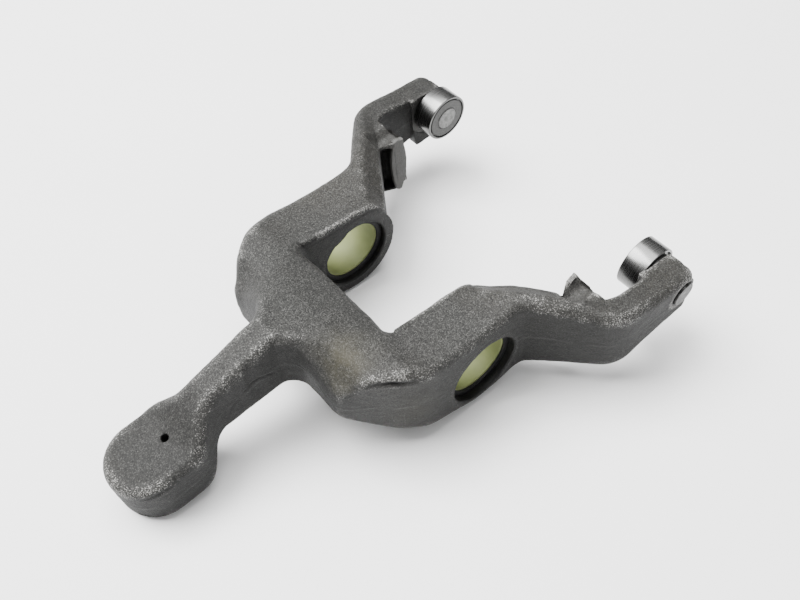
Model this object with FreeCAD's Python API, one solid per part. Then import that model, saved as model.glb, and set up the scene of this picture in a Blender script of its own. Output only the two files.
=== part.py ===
import FreeCAD, Part
import math
import os

V = FreeCAD.Vector
os.makedirs("parts", exist_ok=True)

# ----------------------------------------------------------------------------
# Clutch release fork.  Millimetres.
# Design frame: the pivot bores share the Y axis through the origin, +X runs
# from the lever towards the rollers, +Z is up, +Y is the left arm.
# Everything is drawn level in the design frame and then pitched about the
# pivot axis by REST_PITCH, the attitude in which the fork lies on its pad and
# on the undersides of its two bore sections.
# ----------------------------------------------------------------------------
REST_PITCH = 8.6            # degrees, lever end down

# lever and pad
PAD_TIP_X = -208.0
PAD_HALF = 24.2
PAD_TOP = 32.3
PAD_BOTTOM = -5.0
LEVER_HALF = 10.8
LEVER_BOTTOM = 14.5
CREST_Z = 62.8
CUP_X = -170.0
CUP_R = 13.0
CUP_DEPTH = 11.0
VENT_D = 4.6

# cross beam and arms
SHOULDER_X = -88.0
BEAM_REAR_X = -43.0
EDGE_R = 6.5
ARM_INNER = 41.5
ARM_OUTER = 78.7
END_INNER = 106.5
END_OUTER = 126.4
END_X = 135.5

# pivot bores, bushes and seals
BORE_R = 25.0
BOSS_R = 33.0
BOSS_FACE = 43.0
BORE_CHAMFER = 0.8
BUSH_IN = 48.4
BUSH_OUT = 71.6
BUSH_BORE_R = 21.0
SEAL_T = 1.6
SEAL_BORE_R = 21.35

# rollers
ROLLER_X = 124.4
ROLLER_Z = 4.2
ROLLER_R = 17.5
ROLLER_IN = 87.8
ROLLER_OUT = 103.4
RACE_R = 11.70
COUNTERBORE_R = 15.9
COUNTERBORE_D = 1.6
PIN_R = 8.60
SPOT_R = 21.5
NEEDLE_R = 1.50
NEEDLE_PITCH_R = 10.15
NEEDLE_N = 20
WASHER_OD_R = 15.0
WASHER_BORE_R = 8.62
BOSS_PAD_FACE = 104.4
THRUST_R = 13.5


def rounded(pts):
    """Closed wire in XY of straight lines joined by tangent arcs.
    pts: (x, y, radius)."""
    n = len(pts)

    def P(a, b):
        return V(a, b, 0)
    starts, ends, mids = [], [], []
    for i in range(n):
        a0, b0, _ = pts[i - 1]
        a1, b1, r = pts[i]
        a2, b2, _ = pts[(i + 1) % n]
        u = V(a0 - a1, b0 - b1, 0)
        w = V(a2 - a1, b2 - b1, 0)
        u.normalize()
        w.normalize()
        ang = math.acos(max(-1.0, min(1.0, u.dot(w))))
        if r <= 0 or ang > math.pi - 1e-4:
            starts.append((a1, b1))
            ends.append((a1, b1))
            mids.append(None)
            continue
        t = r / math.tan(ang / 2)
        bis = u + w
        bis.normalize()
        d = r / math.sin(ang / 2)
        starts.append((a1 + u.x * t, b1 + u.y * t))
        ends.append((a1 + w.x * t, b1 + w.y * t))
        mids.append((a1 + bis.x * (d - r), b1 + bis.y * (d - r)))
    edges = []
    for i in range(n):
        j = (i + 1) % n
        if mids[i]:
            edges.append(Part.Arc(P(*starts[i]), P(*mids[i]), P(*ends[i])).toShape())
        e, s = P(*ends[i]), P(*starts[j])
        if e.distanceToPoint(s) > 1e-3:
            edges.append(Part.makeLine(e, s))
    return Part.Wire(Part.__sortEdges__(edges))


def prism_z(pts, z0, z1):
    f = Part.Face(rounded(pts))
    f.translate(V(0, 0, z0))
    return f.extrude(V(0, 0, z1 - z0))


def cyl_y(r, y0, y1, x=0.0, z=0.0):
    return Part.makeCylinder(r, y1 - y0, V(x, y0, z), V(0, 1, 0))


def cone_y(r0, r1, y0, y1, x=0.0, z=0.0):
    return Part.makeCone(r0, r1, y1 - y0, V(x, y0, z), V(0, 1, 0))


def mirrored(shape):
    return shape.mirror(V(0, 0, 0), V(0, 1, 0))


# ---------------------------------------------------------------- plan outline
outer = [
    (PAD_TIP_X, PAD_HALF, 23.8),
    (-161.0, PAD_HALF, 20.0),
    (-144.5, LEVER_HALF, 22.0),
    (SHOULDER_X, LEVER_HALF, 12.0),
    (SHOULDER_X, 49.5, 12.0),
    (-61.0, 70.5, 36.0),
    (-43.0, ARM_OUTER, 28.0),
    (29.0, ARM_OUTER, 11.0),
    (69.0, 124.6, 28.0),
    (END_X, END_OUTER, 8.0),
    (END_X, END_INNER, 7.5),
    (74.5, END_INNER, 24.0),
    (27.0, ARM_INNER, 12.0),
    (BEAM_REAR_X, ARM_INNER, 7.0),
]
plan = outer + [(x, -y, r) for x, y, r in reversed(outer)]


# ------------------------------------------------------- top and bottom skins
def ramp(t):
    t = max(0.0, min(1.0, t))
    return t * t * (3 - 2 * t)


def curve(pts, x):
    """Monotone cubic through (x, z) stations."""
    n = len(pts)
    if x <= pts[0][0]:
        return pts[0][1]
    if x >= pts[-1][0]:
        return pts[-1][1]
    d = [(pts[i + 1][1] - pts[i][1]) / (pts[i + 1][0] - pts[i][0]) for i in range(n - 1)]
    m = [d[0]] + [0.0 if d[i - 1] * d[i] <= 0 else 2 * d[i - 1] * d[i] / (d[i - 1] + d[i])
                  for i in range(1, n - 1)] + [d[-1]]
    for i in range(n - 1):
        if x <= pts[i + 1][0]:
            h = pts[i + 1][0] - pts[i][0]
            t = (x - pts[i][0]) / h
            return (pts[i][1] * (1 + 2 * t) * (1 - t) ** 2 + pts[i + 1][1] * t * t * (3 - 2 * t)
                    + h * m[i] * t * (1 - t) ** 2 - h * m[i + 1] * t * t * (1 - t))


TOP_MID = [(-230, PAD_TOP), (-172, PAD_TOP), (-163, 35.5), (-155, 42), (-147, 48.5), (-138, 53),
           (-114, 59.5), (-97, CREST_Z), (-80, 60), (-62, 56.0), (-43, 52.0), (-20, 47), (150, 40)]
TOP_ARM = [(-110, 27), (-94, 31), (-86, 37), (-78, 45.5), (-67, 52.5), (-56, 53), (-46, 49.5),
           (-38, 46.6), (-20, 43), (0, 40.2), (18, 39.2), (38, 40.6), (50, 38), (66, 31.8),
           (82, 27.4), (100, 23.2), (121, 19.6), (150, 15)]
BOT_MID = [(-230, PAD_BOTTOM), (-166, PAD_BOTTOM), (-158, 0), (-150, 10), (-143, LEVER_BOTTOM),
           (-100, LEVER_BOTTOM), (-80, 11), (-60, 4), (-40, 0), (150, -4)]
BOT_ARM = [(-110, 22), (-90, 15), (-80, 6), (-66, -5.5), (-52, -14), (-36, -22), (-18, -30),
           (-4, -34.5), (14, -35), (26, -32), (36, -27.5), (50, -25.5), (74, -25), (92, -21),
           (108, -19), (150, -18)]
INNER_DROP = [(8, 0), (18, 6.5), (26, 14), (33, 12), (42, 8), (52, 6), (64, 4.5), (76, 1.5), (86, 0)]


def z_top(x, y):
    y = abs(y)
    w = ramp((y - 16) / 34.0)
    if x < -96:
        w = 0.0
    elif x < -84:
        w *= ramp((x + 96) / 12.0)
    z = (1 - w) * curve(TOP_MID, x) + w * curve(TOP_ARM, x)
    # inner side of the diverging web falls away
    s = (x - 46) * 0.81 - (y - 83) * 0.58
    z -= curve(INNER_DROP, x) * ramp((s + 5) / 15.0) * ramp((y - 30) / 11.0)
    return z


def z_bot(x, y):
    y = abs(y)
    w = ramp((y - 22) / 26.0)
    if x < -96:
        w = 0.0
    elif x < -84:
        w *= ramp((x + 96) / 12.0)
    z = (1 - w) * curve(BOT_MID, x) + w * curve(BOT_ARM, x)
    # outer lower edge of the bore sections is well rounded
    z += 5.0 * ramp((y - 66) / 15.0) * ramp((x + 60) / 30.0) * ramp((34 - x) / 14.0)
    # beside the bore boss the underside climbs round the boss
    if x > 2 and y > 36:
        c = -math.sqrt(max(33.0 ** 2 - min(x, 27.0) ** 2, 1))
        k = ramp((72 - y) / 20.0) * ramp((x - 2) / 10.0) * ramp((48 - x) / 16.0)
        z = z * (1 - k) + max(z, c) * k
    return z


def skin(fn):
    xs = [-222 + 7.4 * i for i in range(50)]
    ys = [-140 + 7.0 * i for i in range(41)]
    rows = [[V(x, y, fn(x, y)) for y in ys] for x in xs]
    s = Part.BSplineSurface()
    s.interpolate(rows)
    return s.toShape()


top = skin(z_top)
bottom = skin(z_bot)
under_top = top.extrude(V(0, 0, -150))
over_bottom = bottom.extrude(V(0, 0, 150))
blank = prism_z(plan, -60, 90)
body = blank.common(under_top).common(over_bottom)
body = body.Solids[0]


def skin_face(solid, upper):
    f = [g for g in solid.Faces if "BSpline" in str(g.Surface) and g.Area > 5000]
    f.sort(key=lambda g: g.CenterOfMass.z)
    return f[-1] if upper else f[0]


for upper in (True, False):
    for r in (EDGE_R, 6.3, 6.7, 6.0, 6.9, 5.6, 5.0):
        try:
            rounded_body = body.makeFillet(r, skin_face(body, upper).Edges)
        except Part.OCCError:
            continue
        if rounded_body.isValid():
            body = rounded_body.Solids[0]
            print("edge radius", r)
            break
print("rounded", body.isValid(), body.Volume)


# ------------------------------------------------------- features of one side
def bore_boss():
    return cyl_y(BOSS_R, BOSS_FACE, ARM_INNER + 22)


def guide_tab():
    lens = Part.Wire([
        Part.Arc(V(67.4, 60, 27.6), V(64.0, 60, 4.0), V(66.6, 60, -19.6)).toShape(),
        Part.makeLine(V(66.6, 60, -19.6), V(70.2, 60, -20.6)),
        Part.Arc(V(70.2, 60, -20.6), V(76.2, 60, 4.0), V(74.0, 60, 26.9)).toShape(),
        Part.makeLine(V(74.0, 60, 26.9), V(67.4, 60, 27.6))])
    blade = Part.Face(lens).extrude(V(0, 50, 0))
    trim = Part.makePolygon([V(58, 84.9, -40), V(62.6, 79.6, -40), V(85, 76.4, -40), V(85, 104.5, -40),
                             V(73, 104.5, -40), V(60.5, 88.0, -40), V(58, 84.9, -40)])
    blade = blade.common(Part.Face(trim).extrude(V(0, 0, 90)))
    web = Part.makePolygon([V(57.0, 85.3, -15), V(67.3, 78.75, -15), V(75.3, 77.7, -15), V(75.3, 100, -15),
                            V(68, 97, -15), V(57.0, 85.3, -15)])
    web = Part.Face(web).extrude(V(0, 0, 42.3))
    scoop = Part.makeCylinder(5.6, 60, V(62.9, 82.9, -42)).fuse(Part.makeSphere(5.6, V(62.9, 82.9, 18)))
    root = Part.makeCylinder(10.3, 90, V(84.0, 96.2, -40))
    return blade.fuse(web).cut([scoop, root]).removeSplitter()


def end_pad():
    w = Part.makePolygon([V(105.2, 0, 22.0), V(105.2, 0, -13.0), V(107.8, 0, -23.5), V(134.0, 0, -23.5),
                          V(134.0, 0, 17.2), V(121, 0, 19.4), V(105.2, 0, 22.0)])
    f = Part.Face(w)
    f.translate(V(0, BOSS_PAD_FACE - 0.9, 0))
    return f.extrude(V(0, 12, 0))


half = bore_boss().fuse([guide_tab(), end_pad()])
body = body.fuse([half, mirrored(half)])
body = body.removeSplitter()
print("fused", body.isValid(), len(body.Solids), body.Volume)

cuts = []
cuts.append(cyl_y(BORE_R, 30, 90))
cuts.append(cyl_y(BOSS_R, 30, BOSS_FACE))
cuts.append(cone_y(BORE_R + BORE_CHAMFER, BORE_R, BOSS_FACE, BOSS_FACE + BORE_CHAMFER))
cuts.append(cone_y(BORE_R, BORE_R + BORE_CHAMFER, ARM_OUTER - BORE_CHAMFER, ARM_OUTER))
cuts.append(cyl_y(SPOT_R, 88, BOSS_PAD_FACE, ROLLER_X, ROLLER_Z))
cuts.append(cyl_y(PIN_R, 90, 140, ROLLER_X, ROLLER_Z))
cuts.append(cone_y(PIN_R, PIN_R + 1.8, END_OUTER - 1.8, END_OUTER, ROLLER_X, ROLLER_Z))
side_cut = cuts[0].fuse(cuts[1:])
body = body.cut([side_cut, mirrored(side_cut)])
cup = Part.makeSphere(CUP_R, V(CUP_X, 0, PAD_BOTTOM + CUP_DEPTH - CUP_R))
cup = cup.fuse(Part.makeCone(CUP_R * 0.985, CUP_R + 1.5, 5, V(CUP_X, 0, PAD_BOTTOM + 2.2), V(0, 0, -1)))
vent = Part.makeCylinder(VENT_D / 2, 60, V(CUP_X, 0, PAD_BOTTOM))
body = body.cut([cup, vent])
body = body.Solids[0]
print("fork body", body.isValid(), len(body.Solids), len(body.Faces), body.Volume / 1000.0, "cm3", body.CenterOfMass)
nodes = {"fork_body": body}


# ------------------------------------------------------------ bushes and seals
def ring_y(ro, ri, y0, y1, x=0.0, z=0.0, c=0.0):
    r = cyl_y(ro, y0, y1, x, z).cut(cyl_y(ri, y0 - 1, y1 + 1, x, z))
    if c > 0:
        r = r.makeChamfer(c, [e for e in r.Edges if abs(e.CenterOfMass.y - y0) < 1e-3 or abs(e.CenterOfMass.y - y1) < 1e-3])
    return r.Solids[0]


bush = ring_y(BORE_R, BUSH_BORE_R, BUSH_IN, BUSH_OUT, c=0.6)


seal_in = ring_y(BORE_R, SEAL_BORE_R, BUSH_IN - SEAL_T, BUSH_IN, c=0.3)
seal_out = ring_y(BORE_R, SEAL_BORE_R, BUSH_OUT, BUSH_OUT + SEAL_T, c=0.3)

# --------------------------------------------------------------------- rollers
ring = ring_y(ROLLER_R, RACE_R, ROLLER_IN, ROLLER_OUT, ROLLER_X, ROLLER_Z)
ring = ring.cut([cyl_y(COUNTERBORE_R, ROLLER_IN - 1, ROLLER_IN + COUNTERBORE_D, ROLLER_X, ROLLER_Z),
                 cyl_y(COUNTERBORE_R, ROLLER_OUT - COUNTERBORE_D, ROLLER_OUT + 1, ROLLER_X, ROLLER_Z)]).Solids[0]
rim = [e for e in ring.Edges if len(e.Vertexes) == 1 and abs(e.Curve.Radius - ROLLER_R) < 1e-3]
ring = ring.makeFillet(0.6, rim).Solids[0]

washer_in = ring_y(WASHER_OD_R, WASHER_BORE_R, ROLLER_IN + 0.1, ROLLER_IN + COUNTERBORE_D - 0.15, ROLLER_X, ROLLER_Z, c=0.2)
washer_out = ring_y(THRUST_R, WASHER_BORE_R, ROLLER_OUT - COUNTERBORE_D + 0.15, BOSS_PAD_FACE, ROLLER_X, ROLLER_Z, c=0.2)

pin = cyl_y(PIN_R, ROLLER_IN - 0.4, END_OUTER + 0.6, ROLLER_X, ROLLER_Z)
pin = pin.makeChamfer(1.1, [e for e in pin.Edges if abs(e.CenterOfMass.y - (ROLLER_IN - 0.4)) < 1e-3
                            or abs(e.CenterOfMass.y - (END_OUTER + 0.6)) < 1e-3]).Solids[0]

n0, n1 = ROLLER_IN + COUNTERBORE_D + 0.05, ROLLER_OUT - COUNTERBORE_D - 0.05
needles = []
for i in range(NEEDLE_N):
    a = 2 * math.pi * i / NEEDLE_N
    needles.append(cyl_y(NEEDLE_R, n0, n1, ROLLER_X + NEEDLE_PITCH_R * math.cos(a),
                         ROLLER_Z + NEEDLE_PITCH_R * math.sin(a)))
needles = Part.makeCompound(needles)

for name, s in (("pivot_bush", bush), ("bore_seal_inner", seal_in), ("bore_seal_outer", seal_out),
                ("roller_pin", pin), ("roller_ring", ring), ("roller_needles", needles),
                ("roller_end_washer", washer_in), ("roller_thrust_washer", washer_out)):
    nodes[name + "_left"] = s
    nodes[name + "_right"] = mirrored(s)

zmin = 1e9
for name, s in nodes.items():
    s = s.copy()
    s.rotate(V(0, 0, 0), V(0, 1, 0), -REST_PITCH)
    bb = s.BoundBox
    zmin = min(zmin, bb.ZMin)
    print(name, s.isValid(), len(s.Solids), [round(v, 2) for v in (bb.XMin, bb.YMin, bb.ZMin, bb.XMax, bb.YMax, bb.ZMax)])
    s.exportStep("parts/%s.step" % name)
print("lowest", zmin)
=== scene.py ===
import math

import bmesh
import bpy
import numpy as np
from mathutils import Matrix, Vector, noise
from mathutils.bvhtree import BVHTree


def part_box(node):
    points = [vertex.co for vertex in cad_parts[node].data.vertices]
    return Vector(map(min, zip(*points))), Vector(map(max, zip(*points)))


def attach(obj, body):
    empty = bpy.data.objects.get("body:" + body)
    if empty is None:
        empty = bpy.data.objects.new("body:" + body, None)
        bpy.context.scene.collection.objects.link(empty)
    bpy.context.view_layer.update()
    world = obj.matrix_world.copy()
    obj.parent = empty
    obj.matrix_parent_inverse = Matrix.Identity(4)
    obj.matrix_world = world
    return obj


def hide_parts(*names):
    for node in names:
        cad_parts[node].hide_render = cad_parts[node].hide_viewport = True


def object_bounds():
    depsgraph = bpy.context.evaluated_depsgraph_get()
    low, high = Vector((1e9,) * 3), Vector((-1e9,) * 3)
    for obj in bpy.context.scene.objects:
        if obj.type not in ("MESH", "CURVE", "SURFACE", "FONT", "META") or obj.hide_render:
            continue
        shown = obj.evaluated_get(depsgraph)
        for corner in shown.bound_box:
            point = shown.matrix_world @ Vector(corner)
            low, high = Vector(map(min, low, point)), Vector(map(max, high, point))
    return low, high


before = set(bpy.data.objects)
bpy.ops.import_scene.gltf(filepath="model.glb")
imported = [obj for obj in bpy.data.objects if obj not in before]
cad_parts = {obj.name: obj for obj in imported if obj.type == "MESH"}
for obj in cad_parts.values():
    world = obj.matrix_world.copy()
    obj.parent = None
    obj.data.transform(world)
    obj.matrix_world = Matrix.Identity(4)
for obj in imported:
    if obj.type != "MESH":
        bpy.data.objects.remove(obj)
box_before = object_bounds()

# ----------------------------------------------------------------------------
# Clutch release fork.  The CAD's drawing frame is level; the fork lies pitched
# about the pivot axis.  Sizes below are millimetres in the drawing frame.
# ----------------------------------------------------------------------------
MM = 0.001
WORLD_LOW, WORLD_HIGH = 0.04, 1.05
PITCH = math.radians(8.6)
CO, SI = math.cos(PITCH), math.sin(PITCH)

BORE_R, BOSS_R, BOSS_FACE, ARM_OUTER = 25.0, 33.0, 43.0, 78.7
BUSH_IN, BUSH_OUT, BUSH_BORE_R = 48.4, 71.6, 21.0
SEAL_T, SEAL_BORE_R = 1.6, 21.35
ROLLER_X, ROLLER_Z, ROLLER_R = 124.4, 4.2, 17.5
ROLLER_IN, ROLLER_OUT, RACE_R = 87.8, 103.4, 11.70
COUNTERBORE_R, COUNTERBORE_D = 15.9, 1.6
PIN_R, PIN_END = 8.60, 127.0
NEEDLE_R, NEEDLE_PITCH_R, NEEDLE_N = 1.50, 10.15, 20
WASHER_OD_R, WASHER_BORE_R, THRUST_R, PAD_FACE = 15.0, 8.62, 13.5, 104.4
END_OUTER = 126.4
CUP_X, PAD_BOTTOM, CUP_DEPTH, CUP_R, VENT_R = -170.0, -5.0, 11.0, 13.0, 2.3


def rest(p):
    """Drawing frame, mm, to row frame, m."""
    p = np.asarray(p, float)
    x, y, z = p[..., 0], p[..., 1], p[..., 2]
    return np.stack([(x * CO - z * SI), y, (x * SI + z * CO)], -1) * MM


def design(p):
    """Row frame, m, to drawing frame, mm."""
    p = np.asarray(p, float) / MM
    x, y, z = p[..., 0], p[..., 1], p[..., 2]
    return np.stack([x * CO + z * SI, y, -x * SI + z * CO], -1)


def link(name, me):
    ob = bpy.data.objects.new(name, me)
    bpy.context.scene.collection.objects.link(ob)
    return ob


def mesh_from(name, verts, faces):
    me = bpy.data.meshes.new(name)
    me.from_pydata([tuple(map(float, v)) for v in verts], [], faces)
    me.validate()
    return me


def coords(me):
    a = np.empty(len(me.vertices) * 3, np.float32)
    me.vertices.foreach_get("co", a)
    return a.reshape(-1, 3).astype(float)


def normals(me):
    a = np.empty(len(me.vertices) * 3, np.float32)
    me.vertices.foreach_get("normal", a)
    return a.reshape(-1, 3).astype(float)


def set_coords(me, v):
    me.vertices.foreach_set("co", np.ascontiguousarray(v, np.float32).ravel())
    me.update()


def evaluated(ob):
    bpy.context.view_layer.update()
    dg = bpy.context.evaluated_depsgraph_get()
    return bpy.data.meshes.new_from_object(ob.evaluated_get(dg))


def apply_modifiers(ob):
    me = evaluated(ob)
    ob.modifiers.clear()
    old = ob.data
    ob.data = me
    bpy.data.meshes.remove(old)


def attribute(me, name, values):
    a = me.attributes.get(name) or me.attributes.new(name, "FLOAT", "POINT")
    a.data.foreach_set("value", np.ascontiguousarray(values, np.float32))


def smoothstep(e0, e1, x):
    t = np.clip((x - e0) / (e1 - e0), 0, 1)
    return t * t * (3 - 2 * t)


# ------------------------------------------------------------------ lathe work
def lathe(name, profile, side=1, cx=0.0, cz=0.0, segs=160, sharp=35.0):
    """A solid of revolution about the line parallel to Y through (cx, cz).
    profile: closed list of (r, y), counter-clockwise; r = 0 ends are caps."""
    verts, faces, uvs = [], [], []
    n = len(profile)
    cap = profile[0][0] < 1e-9
    k = n if not cap else n
    idx = []
    for r, y in profile:
        if r < 1e-9:
            idx.append([len(verts)])
            verts.append((cx, side * y, cz))
        else:
            row = []
            for i in range(segs):
                a = 2 * math.pi * i / segs
                row.append(len(verts))
                verts.append((cx + r * math.cos(a), side * y, cz + r * math.sin(a)))
            idx.append(row)
    length = [0.0]
    for i in range(n):
        r0, y0 = profile[i]
        r1, y1 = profile[(i + 1) % n]
        length.append(length[-1] + math.hypot(r1 - r0, y1 - y0))
    pairs = n - 1 if cap else n
    for i in range(pairs):
        a, b = idx[i], idx[(i + 1) % n]
        r0, r1 = profile[i][0], profile[(i + 1) % n][0]
        rr = max(r0, r1)
        for j in range(segs):
            j2 = (j + 1) % segs
            u0, u1 = 2 * math.pi * rr * j / segs, 2 * math.pi * rr * (j + 1) / segs
            l0, l1 = length[i], length[i + 1]
            if len(a) == 1:
                f, uv = (a[0], b[j2], b[j]), ((u0, l0), (u1, l1), (u0, l1))
            elif len(b) == 1:
                f, uv = (a[j], a[j2], b[0]), ((u0, l0), (u1, l0), (u0, l1))
            else:
                f, uv = (a[j], a[j2], b[j2], b[j]), ((u0, l0), (u1, l0), (u1, l1), (u0, l1))
            if side < 0:
                f, uv = f[::-1], uv[::-1]
            faces.append(f)
            uvs.extend(uv)
    me = bpy.data.meshes.new(name)
    me.from_pydata([tuple(v) for v in rest(np.array(verts))], [], faces)
    layer = me.uv_layers.new(name="turned")
    layer.data.foreach_set("uv", np.array(uvs, np.float32).ravel())
    bm = bmesh.new()
    bm.from_mesh(me)
    bmesh.ops.recalc_face_normals(bm, faces=bm.faces)
    bm.to_mesh(me)
    bm.free()
    me.set_sharp_from_angle(angle=math.radians(sharp))
    for p in me.polygons:
        p.use_smooth = True
    return link(name, me)


def arc(cr, cy, rad, a0, a1, n=5):
    return [(cr + rad * math.cos(math.radians(a0 + (a1 - a0) * i / n)),
             cy + rad * math.sin(math.radians(a0 + (a1 - a0) * i / n))) for i in range(n + 1)]


# ---------------------------------------------------------------- materials
def material(name):
    m = bpy.data.materials.new(name)
    m.use_nodes = True
    nt = m.node_tree
    nt.nodes.clear()
    out = nt.nodes.new("ShaderNodeOutputMaterial")
    b = nt.nodes.new("ShaderNodeBsdfPrincipled")
    nt.links.new(b.outputs["BSDF"], out.inputs["Surface"])
    return m, nt, b


def node(nt, kind, **sockets):
    n = nt.nodes.new(kind)
    for k, v in sockets.items():
        if k.startswith("_"):
            setattr(n, k[1:], v)
        else:
            n.inputs[k.replace("__", " ")].default_value = v
    return n


def coordinate(nt, which="Object"):
    return nt.nodes.new("ShaderNodeTexCoord").outputs[which]


def noise_node(nt, vec, scale, detail=3.0, rough=0.55, distortion=0.0):
    n = node(nt, "ShaderNodeTexNoise", Scale=scale, Detail=detail, Roughness=rough, Distortion=distortion)
    nt.links.new(vec, n.inputs["Vector"])
    return n.outputs["Fac"]


def voronoi(nt, vec, scale, feature="F1", out="Distance"):
    n = node(nt, "ShaderNodeTexVoronoi", Scale=scale)
    n.feature = feature
    nt.links.new(vec, n.inputs["Vector"])
    return n.outputs[out]


def attr(nt, name):
    n = nt.nodes.new("ShaderNodeAttribute")
    n.attribute_name = name
    return n.outputs["Fac"]


def math_node(nt, op, a, b=None, clamp=False):
    n = nt.nodes.new("ShaderNodeMath")
    n.operation = op
    n.use_clamp = clamp
    for i, v in enumerate((a, b)):
        if v is None:
            continue
        if isinstance(v, (int, float)):
            n.inputs[i].default_value = v
        else:
            nt.links.new(v, n.inputs[i])
    return n.outputs[0]


def remap(nt, v, a0, a1, b0=0.0, b1=1.0, smooth=False):
    n = nt.nodes.new("ShaderNodeMapRange")
    n.interpolation_type = "SMOOTHSTEP" if smooth else "LINEAR"
    nt.links.new(v, n.inputs["Value"])
    for k, x in zip(("From Min", "From Max", "To Min", "To Max"), (a0, a1, b0, b1)):
        n.inputs[k].default_value = x
    return n.outputs["Result"]


def mix(nt, fac, a, b):
    n = nt.nodes.new("ShaderNodeMix")
    n.data_type = "RGBA"
    for sock, v in ((n.inputs[0], fac), (n.inputs[6], a), (n.inputs[7], b)):
        if isinstance(v, (int, float)):
            sock.default_value = v
        elif isinstance(v, (tuple, list)):
            sock.default_value = tuple(v) + (1.0,) if len(v) == 3 else v
        else:
            nt.links.new(v, sock)
    return n.outputs[2]


def bump(nt, height, strength, distance, normal=None):
    n = node(nt, "ShaderNodeBump", Strength=strength, Distance=distance)
    nt.links.new(height, n.inputs["Height"])
    if normal is not None:
        nt.links.new(normal, n.inputs["Normal"])
    return n.outputs["Normal"]


def scaled(nt, vec, s):
    n = nt.nodes.new("ShaderNodeMapping")
    n.inputs["Scale"].default_value = s
    nt.links.new(vec, n.inputs["Vector"])
    return n.outputs["Vector"]


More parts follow.
